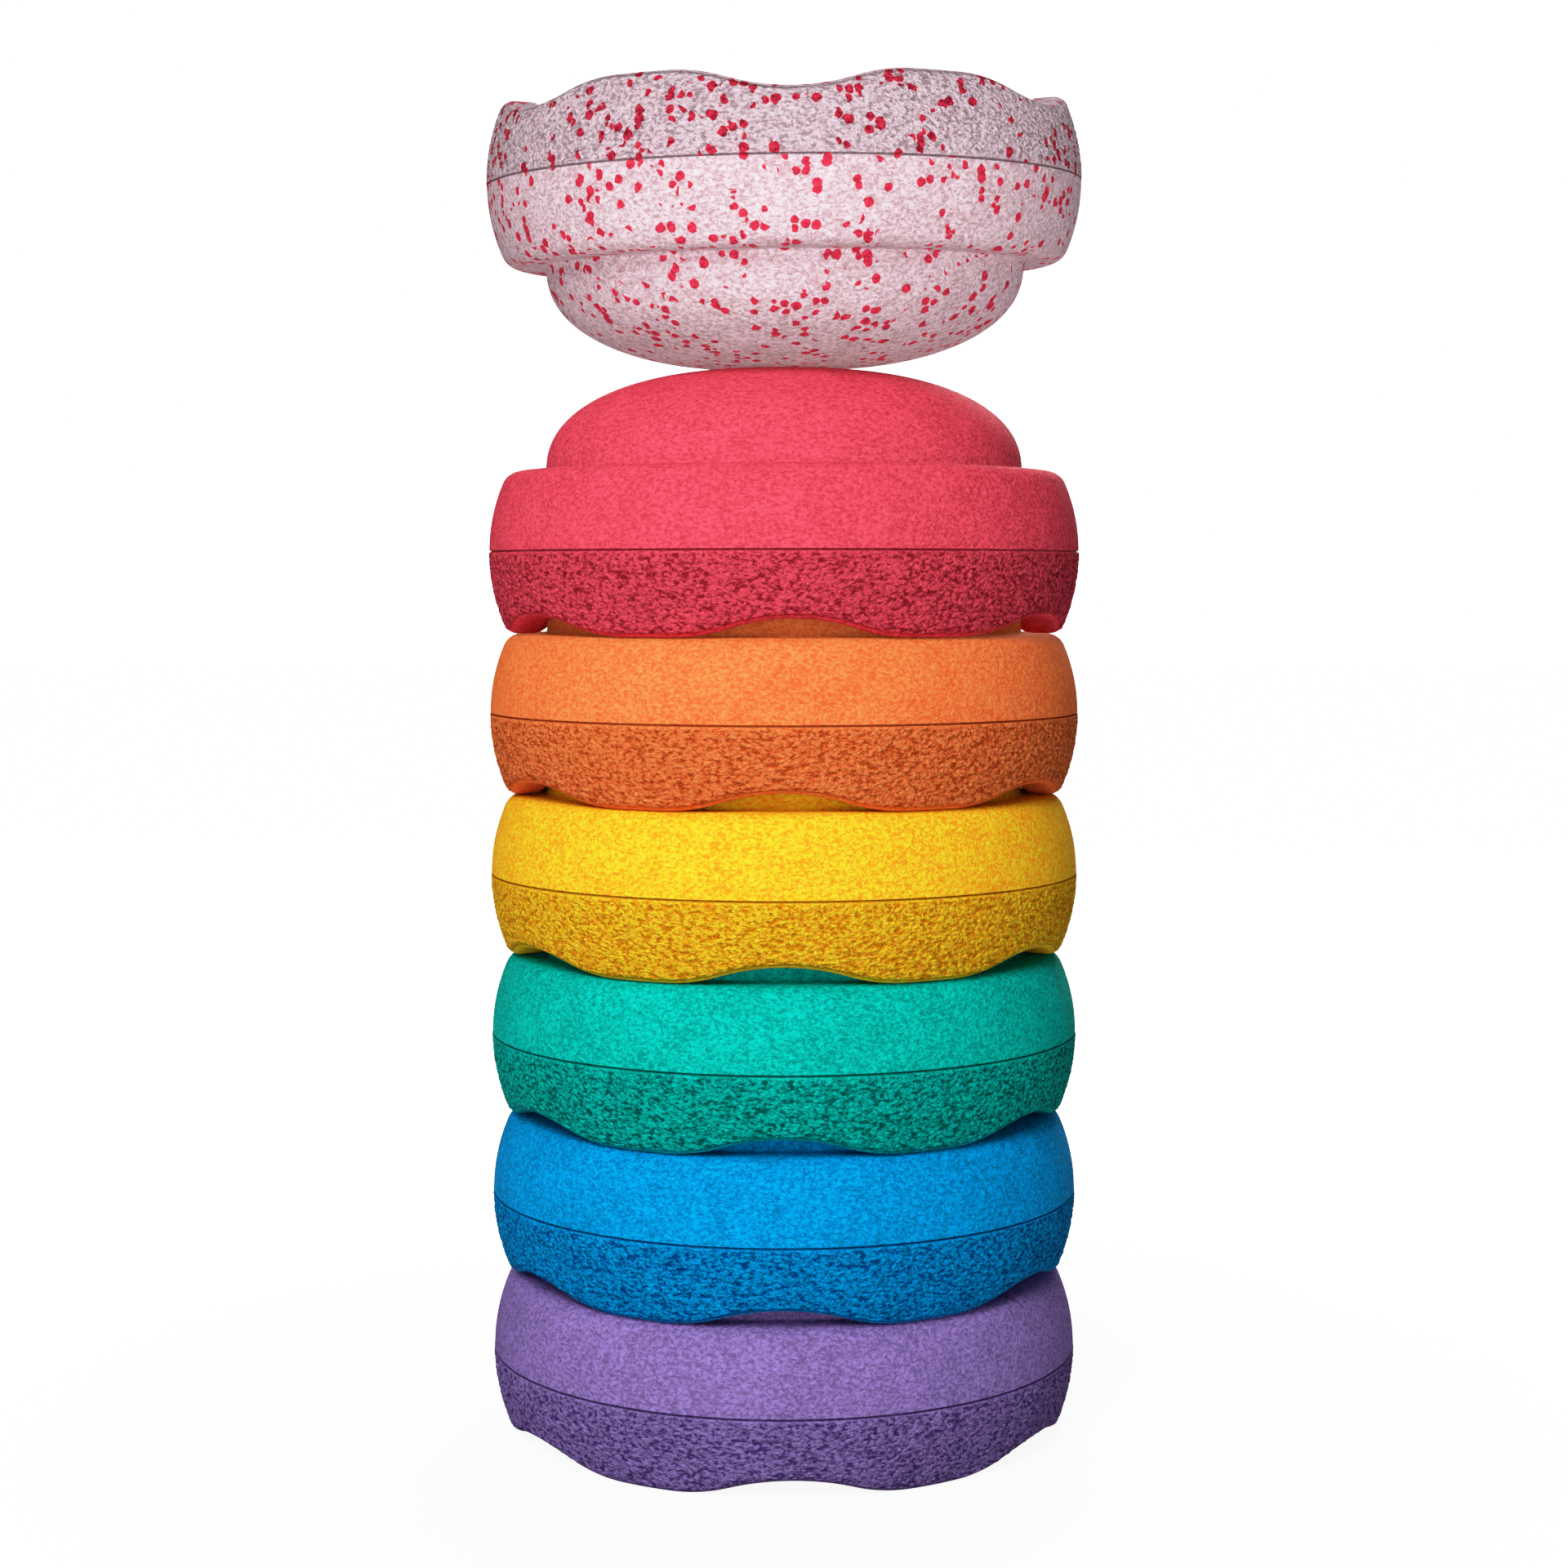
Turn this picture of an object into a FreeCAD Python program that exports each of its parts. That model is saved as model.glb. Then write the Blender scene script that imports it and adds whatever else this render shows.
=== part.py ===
import FreeCAD, Part
import math
import os
from FreeCAD import Placement, Rotation, Vector

# A stack of foam stepping stones. Six stones stand dome up, each with its feet on the shelf
# of the stone below, and the seventh is turned over and balances on the top dome.
# Millimetres. The origin is on the floor under the middle of the stack, +Z is up and -Y is
# the front. Each stone is one closed moulding with a hollow underside.

# Driving dimensions of one stone, with heights measured from the ground it stands on.
OUTER_DIA = 275.0        # widest, at the parting line
TOTAL_H = 122.0          # ground to crown
PARTING_H = 37.9         # ground to parting line
SHELF_H = 74.8           # ground to the shelf that carries the next stone
DOME_DIA = 222.0         # dome where it rises from the shelf
CROWN_FLAT_R = 20.0      # level spot in the middle of the dome
DOME_POWER_R = 2.05      # squareness of the dome, across
DOME_POWER_Z = 2.3       # squareness of the dome, upwards
UPPER_BARREL_R = 80.0    # bulge of the ring above the parting line
LOWER_BARREL_R = 88.0    # bulge of the ring below the parting line
SHELF_EDGE_R = 9.0       # rounding from the ring to the shelf
RIM_OUTER_R = 6.5        # rounding of the bottom rim, outside
RIM_INNER_R = 4.0        # rounding of the bottom rim, inside
MOUTH_DIA = 226.0        # hollow underside, at the ground
CROWN_WALL = 22.0        # foam over the middle of the hollow
HOLLOW_POWER = 2.8       # squareness of the hollow
GROOVE_R = 0.6           # half-round groove along the parting line

# The bottom rim is a wave of six feet with an arch between each two.
FEET = 6
ARCH_H = 8.5             # crest of an arch above the ground
ARCH_HALF_W = 52.0       # half width of an arch at the ground
ARCH_CREST_R = 85.0      # curve at the crest of an arch
ARCH_START_R = 90.0      # an arch's cut starts inside the hollow, at this radius
CUT_BELOW = 5.0          # and reaches this far below the ground

CURVE_STEPS = 10         # spans along each superellipse
EDGE_SLACK = 3.0         # most that the radius changes along one edge of the rim

# Stones from the bottom up, with the small turn that each one has on the stone below.
UPRIGHT = [("purple_stone", 1.5), ("blue_stone", 0.0), ("green_stone", 0.0),
           ("yellow_stone", 0.0), ("orange_stone", 0.0), ("red_stone", 1.8)]
BALANCED = ("confetti_stone", 1.4)
LEAN_FRONT = 2.0         # degrees that the balanced stone leans to the front
LEAN_LEFT = 0.65         # and to the left
CROWN_GAP = 0.3          # added so that the rounded crowns stay just clear

OUTER_R = OUTER_DIA / 2
MOUTH_R = MOUTH_DIA / 2


def superellipse(start_r, end_r, height, power_r, power_z):
    """Points from the middle of a dome, at the given height, out and down to its edge."""
    points = []
    for step in range(CURVE_STEPS + 1):
        angle = math.pi / 2 * step / CURVE_STEPS
        r = start_r + (end_r - start_r) * math.sin(angle) ** (2 / power_r)
        z = height * max(math.cos(angle), 0.0) ** (2 / power_z)
        points.append((r, z))
    return points


def smooth_edge(points, start_dir, end_dir):
    """One smooth curve through (r, z) points, with its direction given at both ends."""
    curve = Part.BSplineCurve()
    vectors = [Vector(r, 0, z) for r, z in points]
    curve.interpolate(Points=vectors, InitialTangent=start_dir, FinalTangent=end_dir)
    return curve.toShape()


def arc_edge(start, middle, end):
    ends = [Vector(r, 0, z) for r, z in (start, middle, end)]
    return Part.Arc(*ends).toShape()


def line_edge(start, end):
    return Part.makeLine(Vector(start[0], 0, start[1]), Vector(end[0], 0, end[1]))


def ring_r(height):
    """Outer radius of the barrel-shaped ring at a height above the ground."""
    rise = height - PARTING_H
    bulge = UPPER_BARREL_R if rise > 0 else LOWER_BARREL_R
    return OUTER_R - bulge + math.sqrt(bulge ** 2 - rise ** 2)


def shelf_rounding():
    """Start, middle and end of the arc from the ring to the shelf."""
    centre_z = SHELF_H - SHELF_EDGE_R
    reach = UPPER_BARREL_R - SHELF_EDGE_R
    lean = math.asin((centre_z - PARTING_H) / reach)
    centre_r = OUTER_R - UPPER_BARREL_R + reach * math.cos(lean)
    points = []
    for angle in (lean, (lean + math.pi / 2) / 2, math.pi / 2):
        points.append((centre_r + SHELF_EDGE_R * math.cos(angle),
                       centre_z + SHELF_EDGE_R * math.sin(angle)))
    return points


def profile_face():
    """Half section of a stone without its arches and rim roundings."""
    dome = superellipse(CROWN_FLAT_R, DOME_DIA / 2, TOTAL_H - SHELF_H,
                        DOME_POWER_R, DOME_POWER_Z)
    dome = [(r, z + SHELF_H) for r, z in dome]
    hollow = superellipse(0.0, MOUTH_R, TOTAL_H - CROWN_WALL, HOLLOW_POWER, HOLLOW_POWER)
    edge_low, edge_mid, edge_top = shelf_rounding()
    groove_top = (ring_r(PARTING_H + GROOVE_R), PARTING_H + GROOVE_R)
    groove_low = (ring_r(PARTING_H - GROOVE_R), PARTING_H - GROOVE_R)
    upper_mid_h = (edge_low[1] + groove_top[1]) / 2
    lower_mid_h = groove_low[1] / 2
    rim = (ring_r(0.0), 0.0)
    edges = [
        line_edge((0.0, TOTAL_H), dome[0]),
        smooth_edge(dome, Vector(1, 0, 0), Vector(0, 0, -1)),
        line_edge(dome[-1], edge_top),
        arc_edge(edge_top, edge_mid, edge_low),
        arc_edge(edge_low, (ring_r(upper_mid_h), upper_mid_h), groove_top),
        arc_edge(groove_top, (OUTER_R - GROOVE_R, PARTING_H), groove_low),
        arc_edge(groove_low, (ring_r(lower_mid_h), lower_mid_h), rim),
        line_edge(rim, (MOUTH_R, 0.0)),
        smooth_edge(hollow[::-1], Vector(0, 0, 1), Vector(-1, 0, 0)),
        line_edge(hollow[0], (0.0, TOTAL_H)),
    ]
    return Part.Face(Part.Wire(edges))


def arch_cutter(direction):
    """Rounded arch that runs outwards through the rim in the given direction, in degrees."""
    blend_r = (ARCH_HALF_W ** 2 / ARCH_H + ARCH_H) / 2 - ARCH_CREST_R
    span = ARCH_CREST_R + blend_r
    lean = math.asin(ARCH_HALF_W / span)
    crest_z = ARCH_H - ARCH_CREST_R
    side = ARCH_CREST_R * math.sin(lean)
    side_z = crest_z + ARCH_CREST_R * math.cos(lean)
    blend = (ARCH_HALF_W - blend_r * math.sin(lean / 2), blend_r * (1 - math.cos(lean / 2)))

    def at(y, z):
        return Vector(0, y, z)

    below = -CUT_BELOW
    edges = [
        Part.Arc(at(-ARCH_HALF_W, 0), at(-blend[0], blend[1]), at(-side, side_z)).toShape(),
        Part.Arc(at(-side, side_z), at(0, ARCH_H), at(side, side_z)).toShape(),
        Part.Arc(at(side, side_z), at(blend[0], blend[1]), at(ARCH_HALF_W, 0)).toShape(),
        Part.makeLine(at(ARCH_HALF_W, 0), at(ARCH_HALF_W, below)),
        Part.makeLine(at(ARCH_HALF_W, below), at(-ARCH_HALF_W, below)),
        Part.makeLine(at(-ARCH_HALF_W, below), at(-ARCH_HALF_W, 0)),
    ]
    cutter = Part.Face(Part.Wire(edges)).extrude(Vector(OUTER_R, 0, 0))
    cutter.translate(Vector(ARCH_START_R, 0, 0))
    cutter.rotate(Vector(0, 0, 0), Vector(0, 0, 1), direction)
    return cutter


def rim_edges(shape, inside):
    """Edges of the wavy bottom rim, on its inner or its outer side."""
    found = []
    split_r = (MOUTH_R + ring_r(0.0)) / 2
    for edge in shape.Edges:
        if edge.BoundBox.ZMax > ARCH_H + EDGE_SLACK:
            continue
        radii = [math.hypot(v.X, v.Y) for v in edge.Vertexes]
        along = abs(radii[0] - radii[-1]) < EDGE_SLACK
        if along and (max(radii) < split_r) == inside:
            found.append(edge)
    return found


def make_stone():
    """One stone standing on the ground, with an arch facing the front."""
    stone = Part.Solid(profile_face().revolve(Vector(0, 0, 0), Vector(0, 0, 1), 360))
    for arch in range(FEET):
        stone = stone.cut(arch_cutter(-90.0 + arch * 360.0 / FEET))
    stone = stone.makeFillet(RIM_OUTER_R, rim_edges(stone, inside=False))
    stone = stone.makeFillet(RIM_INNER_R, rim_edges(stone, inside=True))
    return stone.Solids[0]


def put(stone, rotation, position):
    copy = stone.copy()
    copy.Placement = Placement(position, rotation)
    return copy


def upright(stone, level, turn):
    """Copy of a stone at its level in the stack, turned about the stack's axis."""
    return put(stone, Rotation(Vector(0, 0, 1), turn), Vector(0, 0, level * SHELF_H))


def balanced(stone, crown_height, turn):
    """Copy turned over, with a slight lean, and its crown on the crown at this height.

    The middle of its ring stays over the middle of the stack.
    """
    flip = Rotation(Vector(0, 0, 1), turn).multiply(Rotation(Vector(1, 0, 0), 180))
    lean = Rotation(Vector(0, 1, 0), -LEAN_LEFT).multiply(Rotation(Vector(1, 0, 0), LEAN_FRONT))
    up = lean.multVec(Vector(0, 0, 1))
    crown_rise = CROWN_FLAT_R * math.hypot(up.x, up.y) + CROWN_GAP
    ring_to_crown = TOTAL_H - PARTING_H
    crown = Vector(-up.x * ring_to_crown, -up.y * ring_to_crown, crown_height + crown_rise)
    return put(stone, lean.multiply(flip), crown + up * TOTAL_H)


os.makedirs("parts", exist_ok=True)
base_stone = make_stone()
print("stone valid", base_stone.isValid(), "litres", round(base_stone.Volume / 1e6, 3))
for level, (name, turn) in enumerate(UPRIGHT):
    upright(base_stone, level, turn).exportStep("parts/" + name + ".step")
top_crown = (len(UPRIGHT) - 1) * SHELF_H + TOTAL_H
top_stone = balanced(base_stone, top_crown, BALANCED[1])
top_stone.exportStep("parts/" + BALANCED[0] + ".step")
print("stack height", round(top_stone.BoundBox.ZMax, 2))
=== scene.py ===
import math

import bmesh
import bpy
import numpy as np
from mathutils import Matrix, Vector, noise


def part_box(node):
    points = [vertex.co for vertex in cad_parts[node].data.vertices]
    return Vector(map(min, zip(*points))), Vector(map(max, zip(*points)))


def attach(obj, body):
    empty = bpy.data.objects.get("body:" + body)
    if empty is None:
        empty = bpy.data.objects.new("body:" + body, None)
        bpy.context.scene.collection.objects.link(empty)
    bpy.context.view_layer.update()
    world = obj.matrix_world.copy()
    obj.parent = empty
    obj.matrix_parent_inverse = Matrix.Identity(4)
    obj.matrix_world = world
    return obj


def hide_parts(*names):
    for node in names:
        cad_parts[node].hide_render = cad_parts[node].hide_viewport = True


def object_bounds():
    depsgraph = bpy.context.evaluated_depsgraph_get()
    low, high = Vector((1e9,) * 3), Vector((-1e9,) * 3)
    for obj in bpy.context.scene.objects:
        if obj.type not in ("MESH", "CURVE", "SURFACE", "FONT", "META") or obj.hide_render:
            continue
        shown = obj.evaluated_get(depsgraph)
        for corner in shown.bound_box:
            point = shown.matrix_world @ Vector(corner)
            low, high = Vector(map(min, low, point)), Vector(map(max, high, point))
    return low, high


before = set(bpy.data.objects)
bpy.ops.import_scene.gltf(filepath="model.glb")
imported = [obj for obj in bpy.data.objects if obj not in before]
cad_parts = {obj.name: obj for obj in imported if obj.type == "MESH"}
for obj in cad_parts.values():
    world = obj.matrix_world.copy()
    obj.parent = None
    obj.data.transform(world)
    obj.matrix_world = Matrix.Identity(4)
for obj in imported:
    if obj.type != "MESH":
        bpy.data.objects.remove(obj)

# A stack of foam stepping stones: six nested dome up, and a speckled one turned over and
# balanced dome to dome on the top. Each stone is rebuilt as a fine mesh with its moulded
# grain, in the place of its CAD solid. Blender units are metres; the sizes below are in
# millimetres and are those of the CAD model.

cad_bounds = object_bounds()
MM = 0.001

# ------------------------------------------------------------------ shape of one stone

OUTER_R = 137.5
TOTAL_H = 122.0
PARTING_H = 37.9
SHELF_H = 74.8
DOME_R = 111.0
CROWN_FLAT_R = 20.0
DOME_POWER_R = 2.05
DOME_POWER_Z = 2.3
UPPER_BARREL_R = 80.0
LOWER_BARREL_R = 88.0
SHELF_EDGE_R = 9.0
RIM_OUTER_R = 6.5
RIM_INNER_R = 4.0
RIM_MIDDLE_R = 124.5       # the outer rounding follows the arches at this radius
MOUTH_R = 113.0
HOLLOW_H = 100.0
HOLLOW_POWER = 2.8
DOME_FOOT_R = 1.6          # small hollow curve where the dome meets the shelf
CROWN_ROWS_R = (7.0, 14.0, CROWN_FLAT_R)    # radii of the rows of points on the flat crown
DOME_ROWS = 30
DOME_ROW_GAP = 0.6         # least height between the dome's last row and the foot curve
SHELF_ROWS_R = (115.5, 119.0)
SHELF_EDGE_ROWS = 8
RING_ROWS = 14             # rows of the ring above the groove, closer together near it
HOLLOW_ROWS = 34
GROOVE_HALF_W = 0.35       # parting line of the mould
GROOVE_DEPTH = 0.9
LIP_RISE = 0.3             # the lower half of the mould leaves a thin lip under the groove
LIP_DROP = 0.8             # how far under the groove the lip is highest
LIP_HALF_W = 0.6

FEET = 6
ARCH_H = 8.5               # the wavy rim rises this much between two feet
ARCH_HALF_W = 52.0
ARCH_CREST_R = 85.0

COARSE = 300               # columns round the smooth parts
FINE = 3 * COARSE          # columns round the grained band
GRAIN_ROWS = 66
SEAM_ROWS = 4              # rows above the grained band that lie in the groove
GRAIN_ROUND_RIM = 0.5      # share of the rim's rounding that the grain covers
GRAIN_RELIEF = 0.85        # millimetres from pit to peak
GRAIN_LEVEL = 0.45         # grain at this height lies on the plain surface
GRAIN_FADE_TOP = 2.0       # the grain fades in over this height under the groove
GRAIN_FADE_ROWS = 3        # and out over this many rows on the rim
HOLLOW_FADE_ROWS = 6       # rows from the band to where the skin of the hollow is plain
GRAIN_W = 2.2              # size of the bumps across and up
GRAIN_H = 1.3
GRAIN_SEED = 7             # noise_vector starts from the clock unless it is seeded

STONES = ["purple", "blue", "green", "yellow", "orange", "red", "confetti"]
REST_TURN = {"purple": 1.5, "red": 1.8, "confetti": 1.4}     # degrees
# Sixths of a turn, so that no two stones show the same grain to one side.
SIXTHS = {"purple": 0, "blue": 2, "green": 4, "yellow": 1, "orange": 3, "red": 5, "confetti": 2}
LEAN_FRONT = 2.0           # degrees that the balanced stone leans to the front
LEAN_LEFT = 0.65           # and to the left
CROWN_GAP = 0.3            # clearance under the balanced stone's crown


def arch_height(r, angle):
    """Height of the wavy rim above the feet, at radius r and angle round the stone."""
    blend_r = (ARCH_HALF_W ** 2 / ARCH_H + ARCH_H) / 2 - ARCH_CREST_R
    lean = math.asin(ARCH_HALF_W / (ARCH_CREST_R + blend_r))
    step = 2 * math.pi / FEET
    off = (angle + math.pi / 2 + step / 2) % step - step / 2
    side = np.abs(r * np.sin(off))
    crest = ARCH_H - ARCH_CREST_R + np.sqrt(ARCH_CREST_R ** 2 - np.minimum(side, ARCH_HALF_W) ** 2)
    to_foot = np.clip(ARCH_HALF_W - side, 0.0, blend_r)
    blend = blend_r - np.sqrt(blend_r ** 2 - to_foot ** 2)
    return np.where(side < ARCH_CREST_R * math.sin(lean), crest, blend)


def dome_rows():
    """Radius and height of each row from the crown to the foot of the dome."""
    rows = [(r, TOTAL_H) for r in CROWN_ROWS_R]
    for i in range(1, DOME_ROWS):
        a = math.pi / 2 * i / DOME_ROWS
        r = CROWN_FLAT_R + (DOME_R - CROWN_FLAT_R) * math.sin(a) ** (2 / DOME_POWER_R)
        z = SHELF_H + (TOTAL_H - SHELF_H) * math.cos(a) ** (2 / DOME_POWER_Z)
        if z > SHELF_H + DOME_FOOT_R + DOME_ROW_GAP:
            rows.append((r, z))
    centre_r = DOME_R + DOME_FOOT_R
    for a in (0.0, 30.0, 60.0, 90.0):
        a = math.radians(a)
        rows.append((centre_r - DOME_FOOT_R * math.cos(a),
                     SHELF_H + DOME_FOOT_R * (1 - math.sin(a))))
    return rows


def ring_r(height):
    """Radius of the barrelled ring at a height."""
    rise = height - PARTING_H
    bulge = np.where(rise > 0, UPPER_BARREL_R, LOWER_BARREL_R)
    return OUTER_R - bulge + np.sqrt(bulge ** 2 - rise ** 2)


def upper_rows():
    """Shelf, its rounding, and the ring down to the groove."""
    reach = UPPER_BARREL_R - SHELF_EDGE_R
    centre_z = SHELF_H - SHELF_EDGE_R
    lean = math.asin((centre_z - PARTING_H) / reach)
    centre_r = OUTER_R - UPPER_BARREL_R + reach * math.cos(lean)
    rows = [(r, SHELF_H) for r in SHELF_ROWS_R]
    for i in range(SHELF_EDGE_ROWS + 1):
        a = math.pi / 2 + (lean - math.pi / 2) * i / SHELF_EDGE_ROWS
        rows.append((centre_r + SHELF_EDGE_R * math.cos(a), centre_z + SHELF_EDGE_R * math.sin(a)))
    start = UPPER_BARREL_R * math.sin(lean)
    for i in range(1, RING_ROWS + 1):
        share = (1 - i / RING_ROWS) ** 2
        height = PARTING_H + GROOVE_HALF_W + (start - GROOVE_HALF_W) * share
        rows.append((float(ring_r(height)), height))
    for a in (35.0, 65.0, 90.0, 115.0, 145.0):
        a = math.radians(a)
        rows.append((OUTER_R - GROOVE_DEPTH * math.sin(a), PARTING_H + GROOVE_HALF_W * math.cos(a)))
    return rows


def ring_angles(count):
    """Angles of the columns round the stone."""
    return np.arange(count) * (2 * math.pi / count)


def lower_band(angles, part):
    """Grained band below the groove: part runs from 0 at the groove to 1 partway round the rim.

    Gives radius, height and the downward lean of the surface for each column.
    """
    reach = LOWER_BARREL_R - RIM_OUTER_R
    rim = arch_height(RIM_MIDDLE_R, angles)
    lean = np.arcsin((PARTING_H - rim - RIM_OUTER_R) / reach)
    start = math.asin(GROOVE_HALF_W / LOWER_BARREL_R)
    turn_share = GRAIN_ROUND_RIM * (math.pi / 2 - lean)
    barrel_length = LOWER_BARREL_R * (lean - start)
    along = part * (barrel_length + RIM_OUTER_R * turn_share)
    on_barrel = np.minimum(along, barrel_length)
    on_rim = (along - on_barrel) / RIM_OUTER_R
    a = start + on_barrel / LOWER_BARREL_R
    b = lean + on_rim
    centre_r = OUTER_R - LOWER_BARREL_R + reach * np.cos(lean)
    centre_z = rim + RIM_OUTER_R
    past = on_rim > 0
    r = np.where(past, centre_r + RIM_OUTER_R * np.cos(b),
                 OUTER_R - LOWER_BARREL_R * (1 - np.cos(a)))
    z = np.where(past, centre_z - RIM_OUTER_R * np.sin(b),
                 PARTING_H - LOWER_BARREL_R * np.sin(a))
    return r, z, np.where(past, b, a)


def rim_rows(angles):
    """Rounding of the rim, its underside, and the rounding into the hollow."""
    reach = LOWER_BARREL_R - RIM_OUTER_R
    rim = arch_height(RIM_MIDDLE_R, angles)
    centre_z = rim + RIM_OUTER_R
    lean = np.arcsin((PARTING_H - centre_z) / reach)
    centre_r = OUTER_R - LOWER_BARREL_R + reach * np.cos(lean)
    first = lean + GRAIN_ROUND_RIM * (math.pi / 2 - lean)
    rows = []
    for i in range(1, 6):
        a = first + (math.pi / 2 - first) * i / 5
        rows.append((centre_r + RIM_OUTER_R * np.cos(a), centre_z - RIM_OUTER_R * np.sin(a)))
    inner_r = MOUTH_R + RIM_INNER_R
    for share in (0.33, 0.67):
        r = centre_r + (inner_r - centre_r) * share
        rows.append((r, arch_height(r, angles)))
    low = arch_height(inner_r, angles)
    for i in range(0, 6):
        a = math.pi / 2 * i / 5
        r = inner_r - RIM_INNER_R * math.sin(a)
        rows.append((np.full(len(angles), r), low + RIM_INNER_R * (1 - math.cos(a))))
    return rows


def hollow_rows(angles):
    """Wall of the hollow, from the mouth to just under the crown."""
    low = arch_height(MOUTH_R + RIM_INNER_R, angles) + RIM_INNER_R
    first = np.arcsin((low / HOLLOW_H) ** (HOLLOW_POWER / 2))
    rows = []
    for i in range(1, HOLLOW_ROWS):
        a = first + (math.pi / 2 - first) * i / HOLLOW_ROWS
        r = MOUTH_R * np.cos(a) ** (2 / HOLLOW_POWER)
        rows.append((r, HOLLOW_H * np.sin(a) ** (2 / HOLLOW_POWER)))
    return rows


def grain_height(x, y, z):
    """Moulded grain, as flattened bumps that run into each other, from 0 to 1."""
    p = Vector((x / GRAIN_W, y / GRAIN_W, z / GRAIN_H))
    drift = noise.noise_vector(p * 0.7) * 0.5
    bumps = noise.noise(p + drift)
    small = noise.noise(p * 1.9 + Vector((7.3, 1.9, 4.1)))
    creases = 1.0 - 2.0 * abs(noise.noise(p * 1.2 + Vector((2.7, 8.8, 5.2))))
    return max(0.0, min(1.0, 0.55 + 0.75 * bumps + 0.35 * small - 0.22 * creases))


class Skin:
    """Points, faces and surface values of one stone standing on the ground.

    The values, one for each point: relief is the height of the grain from 0 to 1, grain is 1 on
    the grained band, hollow is 1 inside, and seam is 1 on the parting line.
    """

    def __init__(self):
        self.points = []
        self.faces = []
        self.values = {"relief": [], "grain": [], "hollow": [], "seam": []}

    def add_point(self, place, relief=0.5, grain=0.0, hollow=0.0, seam=0.0):
        self.points.append(place)
        self.values["relief"].append(relief)
        self.values["grain"].append(grain)
        self.values["hollow"].append(hollow)
        self.values["seam"].append(seam)
        return len(self.points) - 1

    def add_row(self, angles, r, z, relief=None, grain=None, hollow=0.0, seam=0.0):
        """Ring of points, each with its own radius and height; gives the first one's number."""
        first = len(self.points)
        relief = np.full(len(angles), 0.5) if relief is None else relief
        grain = np.zeros(len(angles)) if grain is None else grain
        for k, a in enumerate(angles):
            place = (r[k] * math.cos(a), r[k] * math.sin(a), z[k])
            self.add_point(place, relief[k], grain[k], hollow, seam)
        return first

    def join(self, rows, count):
        """Faces between neighbouring rows with the same number of columns."""
        for upper, lower in zip(rows, rows[1:]):
            for k in range(count):
                n = (k + 1) % count
                self.faces.append((upper + k, lower + k, lower + n, upper + n))

    def join_coarse_to_fine(self, coarse_first, fine_first, fine_below):
        """Faces that join a row of few columns to a row of three times as many."""
        for k in range(COARSE):
            n = (k + 1) % COARSE
            steps = [fine_first + (3 * k + s) % FINE for s in range(4)]
            if fine_below:
                self.faces.append([coarse_first + k] + steps + [coarse_first + n])
            else:
                self.faces.append([coarse_first + n, *steps[::-1], coarse_first + k])


def add_grained_rows(skin, angles):
    """Grained band below the groove, moved in and out by its grain; gives its rows."""
    rows = []
    for i in range(GRAIN_ROWS + 1):
        r, z, lean = lower_band(angles, i / GRAIN_ROWS)
        down = (PARTING_H - z) / GRAIN_FADE_TOP
        up = (GRAIN_ROWS - i) / GRAIN_FADE_ROWS
        share = np.clip(np.minimum(down, up), 0.0, 1.0)
        lift = np.zeros(len(angles))
        for k, a in enumerate(angles):
            lift[k] = grain_height(r[k] * math.cos(a), r[k] * math.sin(a), z[k])
        lip = LIP_RISE * np.exp(-((PARTING_H - z - LIP_DROP) / LIP_HALF_W) ** 2)
        move = (lift - GRAIN_LEVEL) * GRAIN_RELIEF * share + lip * min(1.0, i / 2)
        lift = 0.5 + (lift - 0.5) * share
        seam = 1.0 if i == 0 else 0.0
        rows.append(skin.add_row(angles, r + move * np.cos(lean), z - move * np.sin(lean),
                                 lift, share, 0.0, seam))
    return rows


def build_skin():
    """One closed skin, from the crown over the outside and the rim to the top of the hollow."""
    noise.seed_set(GRAIN_SEED)
    coarse = ring_angles(COARSE)
    skin = Skin()
    crown = skin.add_point((0.0, 0.0, TOTAL_H))
    outside = dome_rows() + upper_rows()
    top = []
    for i, (r, z) in enumerate(outside):
        seam = 1.0 if i >= len(outside) - SEAM_ROWS else 0.0
        top.append(skin.add_row(coarse, np.full(COARSE, r), np.full(COARSE, z), seam=seam))
    for k in range(COARSE):
        skin.faces.append((crown, top[0] + k, top[0] + (k + 1) % COARSE))
    skin.join(top, COARSE)

    band = add_grained_rows(skin, ring_angles(FINE))
    skin.join(band, FINE)
    skin.join_coarse_to_fine(top[-1], band[0], True)

    under = []
    for i, (r, z) in enumerate(rim_rows(coarse) + hollow_rows(coarse)):
        inside = min(1.0, (i + 1) / HOLLOW_FADE_ROWS)
        under.append(skin.add_row(coarse, r, z, hollow=inside))
    skin.join_coarse_to_fine(under[0], band[-1], False)
    skin.join(under, COARSE)
    last = skin.add_point((0.0, 0.0, HOLLOW_H), hollow=1.0)
    for k in range(COARSE):
        skin.faces.append((under[-1] + k, last, under[-1] + (k + 1) % COARSE))
    return skin


def upright_place(name, turn):
    """Where an upright stone stands, from the box of its CAD solid."""
    low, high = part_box(name + "_stone")
    middle = Vector(((low.x + high.x) / 2, (low.y + high.y) / 2, low.z))
    return Matrix.Translation(middle) @ Matrix.Rotation(turn, 4, "Z")


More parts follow.
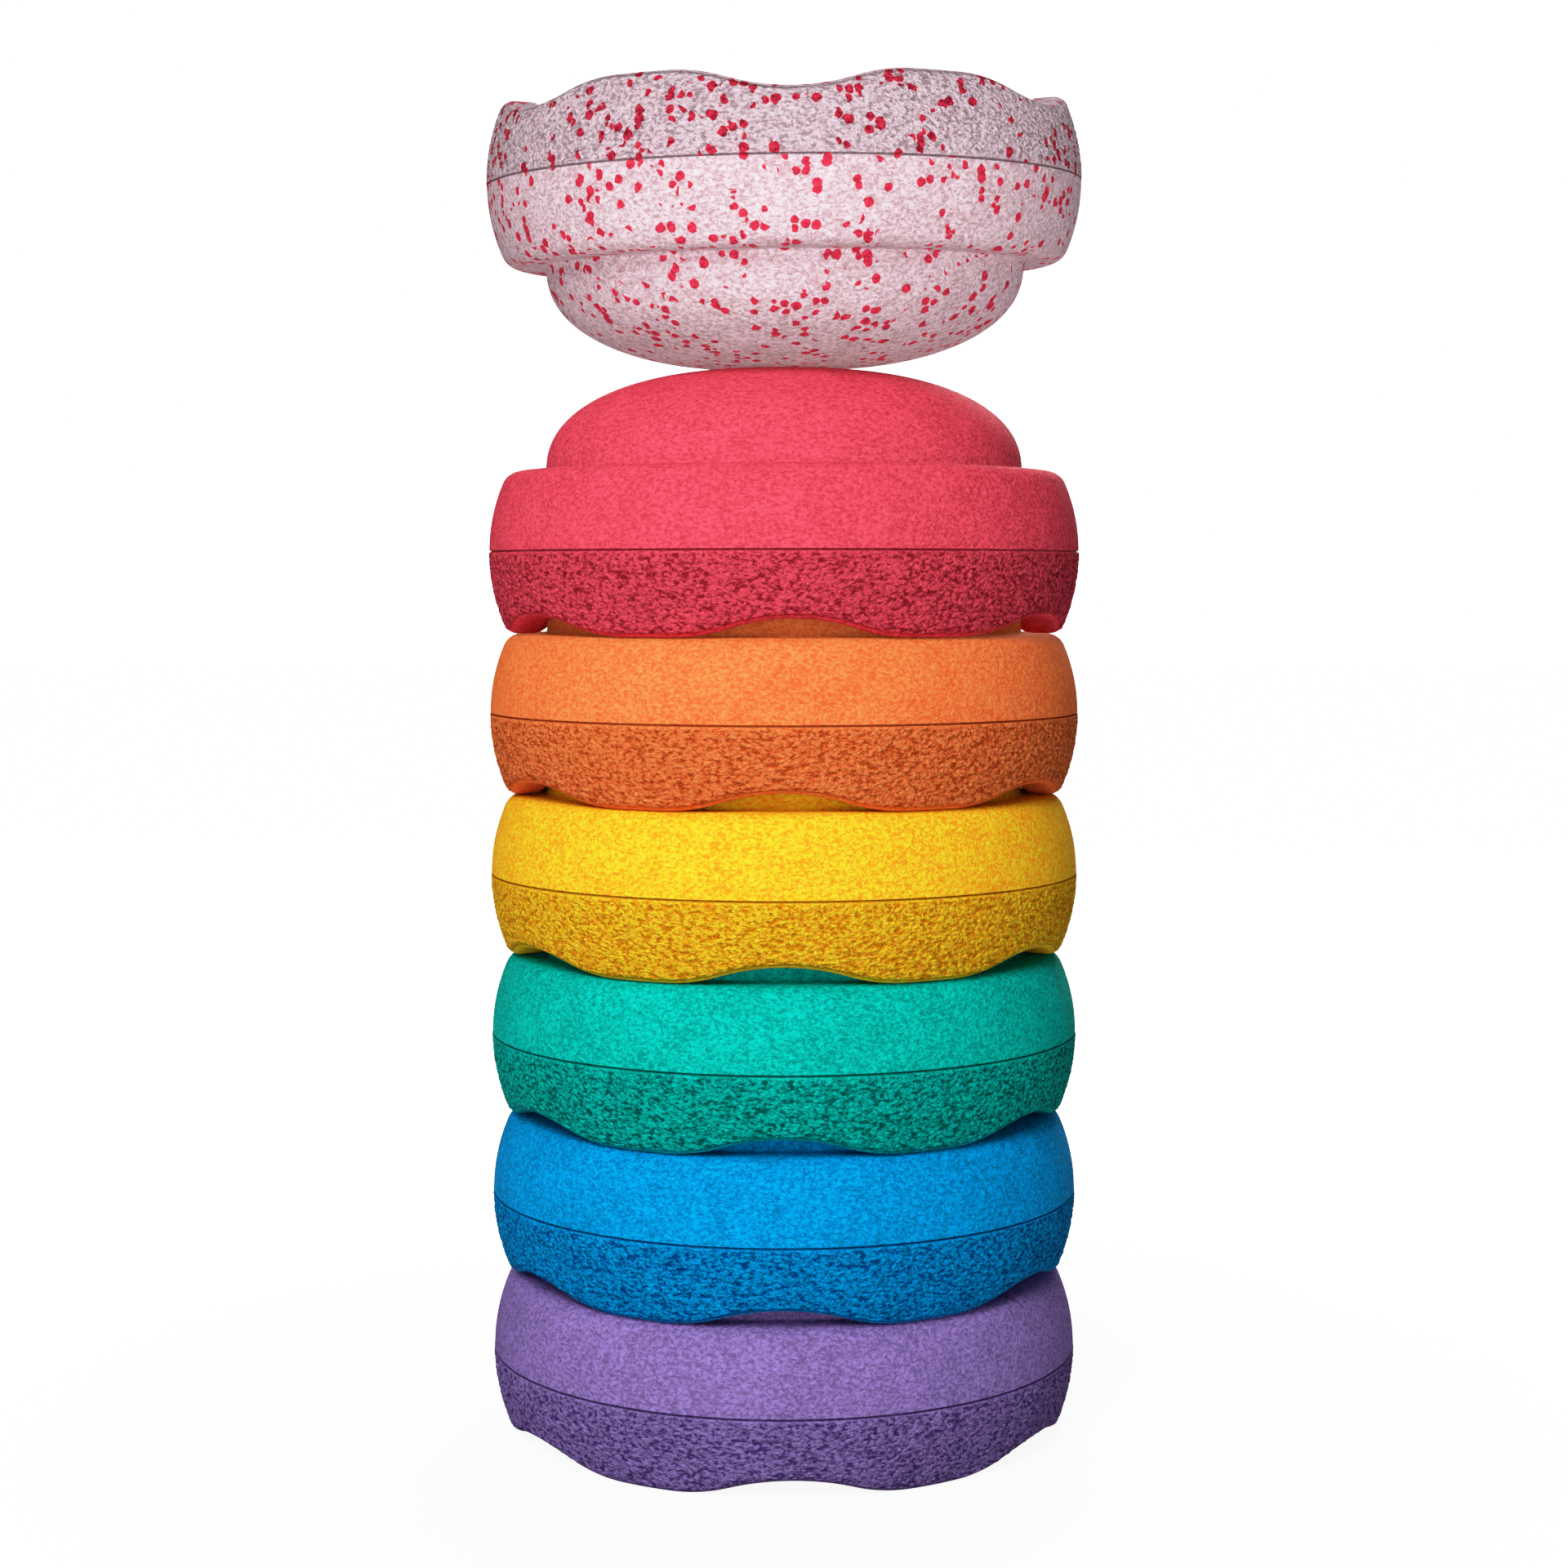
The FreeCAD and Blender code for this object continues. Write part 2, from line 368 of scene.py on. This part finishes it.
def balanced_place(turn):
    """Turned over with a slight lean, its crown on the crown of the red stone."""
    low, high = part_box("red_stone")
    flip = Matrix.Rotation(turn, 4, "Z") @ Matrix.Rotation(math.pi, 4, "X")
    lean = (Matrix.Rotation(math.radians(-LEAN_LEFT), 4, "Y")
            @ Matrix.Rotation(math.radians(LEAN_FRONT), 4, "X"))
    up = lean.to_3x3() @ Vector((0.0, 0.0, 1.0))
    rise = (CROWN_FLAT_R * math.hypot(up.x, up.y) + CROWN_GAP) * MM
    crown = -up * (TOTAL_H - PARTING_H) * MM
    crown = Vector((crown.x, crown.y, high.z + rise))
    return Matrix.Translation(crown + up * TOTAL_H * MM) @ lean @ flip


def stone_piece(name, skin):
    """One stone in its place in the stack, standing for its CAD solid."""
    node = name + "_stone"
    turn = math.radians(REST_TURN.get(name, 0.0) + SIXTHS[name] * 360.0 / FEET)
    if name == "confetti":
        to_stack = balanced_place(turn)
    else:
        to_stack = upright_place(name, turn)
    matrix = np.array(to_stack)
    place = np.array(skin.points) * MM @ matrix[:3, :3].T + matrix[:3, 3]
    mesh = bpy.data.meshes.new(name + "_foam_stone")
    mesh.from_pydata(place.tolist(), [], skin.faces)
    for key, numbers in skin.values.items():
        layer = mesh.attributes.new(key, "FLOAT", "POINT")
        layer.data.foreach_set("value", numbers)
    mesh.shade_smooth()
    mesh.update()
    piece = bpy.data.objects.new(name + "_foam_stone", mesh)
    bpy.context.scene.collection.objects.link(piece)
    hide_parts(node)
    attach(piece, name)
    return piece


# ------------------------------------------------------------------ foam material

def linear(rgb, times=1.0):
    """sRGB 0 to 255 as a linear colour, made darker by the factor."""
    out = []
    for v in rgb:
        v = v / 255.0
        v = v / 12.92 if v <= 0.04045 else ((v + 0.055) / 1.055) ** 2.4
        out.append(v * times)
    return (*out, 1.0)


def two_tones(rgb):
    """A darker and a lighter colour, with the given sRGB colour halfway between them."""
    dark = []
    light = []
    for v in linear(rgb)[:3]:
        top = min(1.0, v * (1 + VARIATION))
        light.append(top)
        dark.append(2 * v - top)
    return (*dark, 1.0), (*light, 1.0)


class Nodes:
    """Short calls that add nodes and join them."""

    def __init__(self, material):
        material.use_nodes = True
        self.tree = material.node_tree
        self.tree.nodes.clear()

    def add(self, kind, inputs=None, **settings):
        """New node; each input is joined to a socket or set to a value."""
        node = self.tree.nodes.new(kind)
        for key, value in settings.items():
            setattr(node, key, value)
        for key, value in (inputs or {}).items():
            if isinstance(value, bpy.types.NodeSocket):
                self.tree.links.new(value, node.inputs[key])
            else:
                node.inputs[key].default_value = value
        return node

    def math(self, operation, a, b):
        return self.add("ShaderNodeMath", {0: a, 1: b}, operation=operation).outputs[0]

    def mix(self, factor, a, b):
        """Colour a where the factor is 0, and b where it is 1."""
        node = self.add("ShaderNodeMix", data_type="RGBA")
        for key, value in ((0, factor), (6, a), (7, b)):
            if isinstance(value, bpy.types.NodeSocket):
                self.tree.links.new(value, node.inputs[key])
            else:
                node.inputs[key].default_value = value
        return node.outputs[2]

    def noise(self, vector, scale, detail=2.0, roughness=0.5, distortion=0.0):
        node = self.add("ShaderNodeTexNoise",
                        {"Vector": vector, "Scale": scale, "Detail": detail,
                         "Roughness": roughness, "Distortion": distortion})
        return node.outputs["Fac"]

    def bend(self, vector, size, reach):
        """The vector pushed about by noise of the given size, in metres."""
        push = self.add("ShaderNodeTexNoise", {"Vector": vector, "Scale": 1 / size, "Detail": 2.0})
        push = self.add("ShaderNodeVectorMath", {0: push.outputs["Color"], 1: (0.5, 0.5, 0.5)},
                        operation="SUBTRACT")
        push = self.add("ShaderNodeVectorMath", {0: push.outputs[0], "Scale": 2 * reach},
                        operation="SCALE")
        return self.add("ShaderNodeVectorMath", {0: vector, 1: push.outputs[0]},
                        operation="ADD").outputs[0]

    def value(self, name):
        """One of the surface values stored on the mesh."""
        return self.add("ShaderNodeAttribute", attribute_name=name).outputs["Fac"]

    def span(self, x, low, high, to_low=0.0, to_high=1.0):
        """Smooth step from one value to another as x goes from low to high."""
        node = self.add("ShaderNodeMapRange",
                        {"Value": x, "From Min": low, "From Max": high,
                         "To Min": to_low, "To Max": to_high}, interpolation_type="SMOOTHSTEP")
        return node.outputs["Result"]


# Grain of the foam, in metres.
WRINKLE_SIZE = 0.0021
WRINKLE_DEPTH = 0.0010
PEBBLE_SIZE = 0.0026
LUMP_SIZE = 0.0019
PEBBLE_DEPTH = 0.0030
GRIT_SIZE = 0.0008
CLOUD_SIZE = 0.016
BEAD_SIZE = 0.0044         # beads that show as specks, and as a net inside the hollow
BEAD_DEPTH = 0.0005
BEND_SIZE = 0.0033         # noise that bends the pebbles out of round, and how far
BEND_REACH = 0.0022
WOBBLE_SIZE = 0.004        # noise that bends the specks out of round, and how far
WOBBLE_REACH = 0.0009
SHADE_RANGE = (0.38, 0.62) # painted wrinkle shade and mottling run from the darker to the lighter tone over this
PEAK_TOP = 0.98            # height of the grain where the painted highlight on a peak is brightest
PALE_PEAK_TOP = 0.86       # the same on the pale stone
PEAK_RISE = 0.2            # a painted peak highlight starts this much lower
PIT_TOP = 0.80             # height of the grain where the painted shade of a pit starts
PALE_PIT_TOP = 0.73        # the same on the pale stone
PIT_FLOOR = 0.58           # and where the painted pit shade is darkest
FLATTEN = 1.5              # wrinkles and pebbles are this much wider than high
PEAK_HIGHLIGHT_SHARE = 0.8           # how far a peak of the coarse grain goes to the lighter colour, as a painted highlight
PIT_SHADE_SHARE = 0.85           # how far a pit of the coarse grain goes to its painted shade colour
HOLLOW_SHADE_SHARE = 0.35        # and how far the rim's underside and the hollow go to it, as painted shade
SEAM_SHADE_SHARE = 0.8           # how far the parting line goes to the painted shade of its groove, which is this times the painted shade of a pit
SEAM_DARKER = 0.5          # which is this times that of a pit
RELIEF_SHARE = 0.25        # how much the moulded relief adds to the height of the grain
SECOND_LAYER = (0.51, 0.37, 0.73)           # shift of the second layer of specks, in metres
SPECK_CHANCE = 0.115       # share of the beads of one layer that are specks
CROWD_SIZE = 0.02          # patches with more or fewer specks
CROWD_RANGE = (0.45, 1.8)  # their share of specks, times SPECK_CHANCE
SPECK_R = (0.46, 0.60)     # smallest and largest speck, as a share of BEAD_SIZE
VARIATION = 0.4            # painted wrinkle shade, mottling and peak highlights make the foam up to this much lighter or darker than its colour

# Foam, and the painted shade of its pits, which also darkens the rim, the hollow and the parting
# line, as sRGB.
FOAMS = {
    "purple": ((129, 103, 168), (46, 24, 94)),
    "blue": ((0, 138, 207), (0, 42, 118)),
    "green": ((2, 171, 158), (0, 62, 55)),
    "yellow": ((253, 186, 34), (196, 108, 2)),
    "orange": ((247, 120, 62), (176, 56, 14)),
    "red": ((226, 68, 87), (130, 12, 28)),
    "confetti": ((228, 195, 205), (172, 148, 159)),
}
# Speck colour, and the painted shade of a speck in a pit, as sRGB.
SPECK = ((222, 50, 76), (140, 18, 38))


def speck_mask(n, place, shift):
    """One layer of round beads, of which a few are picked as specks."""
    moved = n.add("ShaderNodeVectorMath", {0: place, 1: shift}, operation="ADD").outputs[0]
    beads = n.add("ShaderNodeTexVoronoi", {"Vector": moved, "Scale": 1 / BEAD_SIZE,
                                           "Randomness": 0.85})
    chosen = n.add("ShaderNodeSeparateColor", {"Color": beads.outputs["Color"]})
    radius = n.span(chosen.outputs[1], 0.0, 1.0, *SPECK_R)
    inside = n.math("SUBTRACT", radius, beads.outputs["Distance"])
    crowd = n.span(n.noise(place, 1 / CROWD_SIZE, 1.0), 0.35, 0.65, *CROWD_RANGE)
    picked = n.math("LESS_THAN", chosen.outputs[0], n.math("MULTIPLY", crowd, SPECK_CHANCE))
    return n.math("MULTIPLY", n.span(inside, -0.01, 0.02), picked)


def specks(n, place):
    """Where the foam shows a speck: two layers of beads, so that some specks run together."""
    wobbly = n.bend(place, WOBBLE_SIZE, WOBBLE_REACH)
    return n.math("MAXIMUM", speck_mask(n, wobbly, (0.0, 0.0, 0.0)),
                  speck_mask(n, wobbly, SECOND_LAYER))


def wrinkle_shade_and_mottling(n, place, wrinkle, grit):
    """From 0 to 1: how far the foam goes from its darker to its lighter tone, as painted shade of
    the fine wrinkles and grit (high places lighter, low ones darker) with a faint cloudy tone that
    differs at random.
    """
    cloud = n.noise(place, 1 / CLOUD_SIZE, 2.0, 0.5)
    shade = n.math("ADD", n.math("MULTIPLY", wrinkle, 0.65), n.math("MULTIPLY", cloud, 0.10))
    shade = n.math("ADD", shade, n.math("MULTIPLY", grit, 0.25))
    return n.span(shade, *SHADE_RANGE)


def coarse_grain(n, flat):
    """Height of the pebbles and lumps of the grained band."""
    bent = n.bend(flat, BEND_SIZE, BEND_REACH)
    pebble = n.add("ShaderNodeTexVoronoi", {"Vector": bent, "Scale": 1 / PEBBLE_SIZE,
                                            "Smoothness": 0.5}, feature="SMOOTH_F1")
    pebble = n.math("SUBTRACT", 1.0, pebble.outputs["Distance"])
    lumps = n.noise(flat, 1 / LUMP_SIZE, 3.0, 0.6, 0.8)
    return n.math("ADD", n.math("MULTIPLY", pebble, 0.45), n.math("MULTIPLY", lumps, 0.85))


def surface_bump(n, place, wrinkle, grit, coarse, grain, hollow):
    """Fine wrinkles all over, pebbles on the grained band, and a net of beads in the hollow."""
    net = n.add("ShaderNodeTexVoronoi", {"Vector": place, "Scale": 1 / BEAD_SIZE},
                feature="SMOOTH_F1").outputs["Distance"]
    fine = n.math("ADD", wrinkle, n.math("MULTIPLY", grit, 0.35))
    fine = n.math("MULTIPLY", fine, WRINKLE_DEPTH)
    coarse = n.math("MULTIPLY", n.math("MULTIPLY", coarse, grain), PEBBLE_DEPTH)
    beaded = n.math("MULTIPLY", n.math("MULTIPLY", net, hollow), -BEAD_DEPTH)
    height = n.math("ADD", n.math("ADD", fine, coarse), beaded)
    bump = n.add("ShaderNodeBump", {"Height": height, "Strength": 1.0, "Distance": 1.0})
    return bump.outputs[0]


def foam_material(name, foam, pit_shade, speck=None):
    """Matt bead foam of one colour, with painted shade in its wrinkles, pits, rim, hollow and
    parting line and painted highlights on its peaks; a speckled stone also gives the colours of its
    specks.
    """
    material = bpy.data.materials.new(name)
    n = Nodes(material)
    place = n.add("ShaderNodeTexCoord").outputs["Object"]
    flat = n.add("ShaderNodeMapping", {"Vector": place, "Scale": (1.0, 1.0, FLATTEN)}).outputs[0]
    grain = n.value("grain")
    hollow = n.value("hollow")
    wrinkle = n.noise(flat, 1 / WRINKLE_SIZE, 3.0, 0.6, 0.6)
    grit = n.noise(place, 1 / GRIT_SIZE, 2.0, 0.7)
    coarse = coarse_grain(n, flat)

    # Painted shade of the wrinkles and grit, with a faint random cloudy tone.
    shade = wrinkle_shade_and_mottling(n, place, wrinkle, grit)
    dark, light = two_tones(foam)
    colour = n.mix(shade, dark, light)

    # Painted highlights on the peaks of the grained band, from the height of the grain.
    high = n.math("ADD", coarse, n.math("MULTIPLY", n.value("relief"), RELIEF_SHARE))
    peak_top = PALE_PEAK_TOP if speck else PEAK_TOP
    peak_highlight_mask = n.math("MULTIPLY", n.span(high, peak_top - PEAK_RISE, peak_top), grain)
    colour = n.mix(n.math("MULTIPLY", peak_highlight_mask, PEAK_HIGHLIGHT_SHARE), colour, light)
    # Painted shade in the pits of the grained band: the lower the grain, the darker.
    pit_top = PALE_PIT_TOP if speck else PIT_TOP
    pit_shade_mask = n.math("MULTIPLY", n.span(high, pit_top, PIT_FLOOR), grain)
    pit_shade_mask = n.math("MULTIPLY", pit_shade_mask, PIT_SHADE_SHARE)
    colour = n.mix(pit_shade_mask, colour, linear(pit_shade))

    # Painted shade on the underside of the rim and inside the hollow.
    colour = n.mix(n.math("MULTIPLY", hollow, HOLLOW_SHADE_SHARE), colour, linear(pit_shade))
    # Painted shade in the groove of the parting line.
    seam = n.math("MULTIPLY", n.value("seam"), SEAM_SHADE_SHARE)
    colour = n.mix(seam, colour, linear(pit_shade, SEAM_DARKER))

    if speck:
        # Specks take the same painted wrinkle shade and painted pit shade as the foam.
        red = n.mix(shade, *two_tones(speck[0]))
        red = n.mix(pit_shade_mask, red, linear(speck[1]))
        colour = n.mix(specks(n, place), colour, red)

    bump = surface_bump(n, place, wrinkle, grit, coarse, grain, hollow)
    shader = n.add("ShaderNodeBsdfPrincipled", {"Base Color": colour, "Roughness": 0.8,
                                                "Specular IOR Level": 0.02, "Normal": bump})
    n.add("ShaderNodeOutputMaterial", {"Surface": shader.outputs[0]})
    return material


# ------------------------------------------------------------------ stage, light, camera

TONE_TOP = 2.0             # light that shows as pure white
TONE = [(0.25, 0.25), (0.5, 0.5), (0.7, 0.69), (0.85, 0.79),
        (1.0, 0.865), (1.3, 0.945), (1.6, 0.98)]
AMBIENT = 0.13             # strength of the plain white surround
FLOOR_SIZE = 12.0
FLOOR_NEAR = (0.15, 1.2)   # distance from the middle of the floor, and its glow there
FLOOR_FAR = (0.6, 2.0)
KEY_PLACE = (-0.62, -2.05, 1.6)
LOW_PLACE = (-0.25, -2.1, 0.3)
PALE_LOW_PLACE = (0.1, -1.9, 0.15)
BACK_PLACE = (0.35, 2.3, 1.4)


def make_floor(low_z):
    """Wide matt floor that glows to the camera, so that it fades into the white surround."""
    size = FLOOR_SIZE
    mesh = bpy.data.meshes.new("floor")
    bm = bmesh.new()
    corners = [(-size, -size), (size, -size), (size, size), (-size, size)]
    bm.faces.new([bm.verts.new((x, y, low_z)) for x, y in corners])
    bm.to_mesh(mesh)
    bm.free()
    floor = bpy.data.objects.new("floor", mesh)
    bpy.context.scene.collection.objects.link(floor)
    material = bpy.data.materials.new("pale_floor")
    n = Nodes(material)
    seen = n.add("ShaderNodeLightPath").outputs["Is Camera Ray"]
    place = n.add("ShaderNodeTexCoord").outputs["Object"]
    away = n.add("ShaderNodeVectorMath", {0: place}, operation="LENGTH").outputs["Value"]
    glow_level = n.span(away, FLOOR_NEAR[0], FLOOR_FAR[0], FLOOR_NEAR[1], FLOOR_FAR[1])
    matt = n.add("ShaderNodeBsdfDiffuse", {"Color": (0.4, 0.4, 0.4, 1.0)})
    glow = n.add("ShaderNodeEmission", {"Color": (1.0, 1.0, 1.0, 1.0),
                                        "Strength": n.math("MULTIPLY", seen, glow_level)})
    both = n.add("ShaderNodeAddShader", {0: matt.outputs[0], 1: glow.outputs[0]})
    n.add("ShaderNodeOutputMaterial", {"Surface": both.outputs[0]})
    mesh.materials.append(material)
    return floor


def make_world():
    """Plain white surround: pure white to the camera, and faint as a light."""
    world = bpy.data.worlds.new("studio")
    bpy.context.scene.world = world
    n = Nodes(world)
    seen = n.add("ShaderNodeLightPath").outputs["Is Camera Ray"]
    shown = TONE_TOP + 0.1
    level = n.math("ADD", n.math("MULTIPLY", seen, shown - AMBIENT), AMBIENT)
    sky = n.add("ShaderNodeBackground", {"Color": (1.0, 1.0, 1.0, 1.0), "Strength": level})
    n.add("ShaderNodeOutputWorld", {"Surface": sky.outputs[0]})


def soft_light(name, place, target, width, height, watts):
    """Rectangular lamp aimed at the target."""
    lamp = bpy.data.lights.new(name, "AREA")
    lamp.shape = "RECTANGLE"
    lamp.size = width
    lamp.size_y = height
    lamp.energy = watts
    holder = bpy.data.objects.new(name, lamp)
    holder.location = place
    aim = Vector(target) - Vector(place)
    holder.rotation_euler = aim.to_track_quat("-Z", "Y").to_euler()
    bpy.context.scene.collection.objects.link(holder)
    return holder


def light_only(light, pieces):
    """The light reaches these pieces and no others."""
    lit = bpy.data.collections.new(light.name + "_lit")
    for piece in pieces:
        lit.objects.link(piece)
    light.light_linking.receiver_collection = lit


def soft_highlights():
    """Tone curve that rolls off the brightest colours, for light from 0 to TONE_TOP."""
    view = bpy.context.scene.view_settings
    view.view_transform = "Standard"
    view.use_curve_mapping = True
    view.curve_mapping.white_level = (TONE_TOP, TONE_TOP, TONE_TOP)
    for light, shown in TONE:
        view.curve_mapping.curves[3].points.new(light / TONE_TOP, shown)
    view.curve_mapping.update()


def make_camera():
    lens = bpy.data.cameras.new("camera")
    lens.sensor_width = 36.0
    lens.lens = 65.83
    lens.clip_end = 60.0
    camera = bpy.data.objects.new("camera", lens)
    camera.location = (0.0, -1.349, 0.399)
    camera.rotation_euler = (math.radians(90.0 - 4.08), 0.0, 0.0)
    bpy.context.scene.collection.objects.link(camera)
    bpy.context.scene.camera = camera


def main():
    skin = build_skin()
    pieces = {}
    for name in STONES:
        piece = stone_piece(name, skin)
        pieces[name] = piece
        foam, pit_shade = FOAMS[name]
        speck = SPECK if name == "confetti" else None
        piece.data.materials.append(foam_material(name + "_foam", foam, pit_shade, speck))
    low, high = cad_bounds
    middle = (0.0, 0.0, (low.z + high.z) / 2)
    top_stone = (0.0, 0.0, high.z - TOTAL_H / 2 * MM)
    floor = make_floor(low.z)
    make_world()
    key = soft_light("key", KEY_PLACE, middle, 1.0, 1.0, 65.0)
    low_light = soft_light("low", LOW_PLACE, middle, 1.0, 0.6, 12.0)
    pale_key = soft_light("pale_key", KEY_PLACE, top_stone, 1.0, 1.0, 30.0)
    pale_low = soft_light("pale_low", PALE_LOW_PLACE, top_stone, 1.0, 0.6, 31.0)
    soft_light("back", BACK_PLACE, middle, 1.2, 1.2, 42.0)
    pale = pieces.pop("confetti")              # the pale stone has lamps of its own
    for light in (key, low_light):
        light_only(light, [floor, *pieces.values()])
    for light in (pale_key, pale_low):
        light_only(light, [pale])
    pieces["red"].visible_diffuse = False      # it throws no red light on the pale stone
    make_camera()
    soft_highlights()


main()
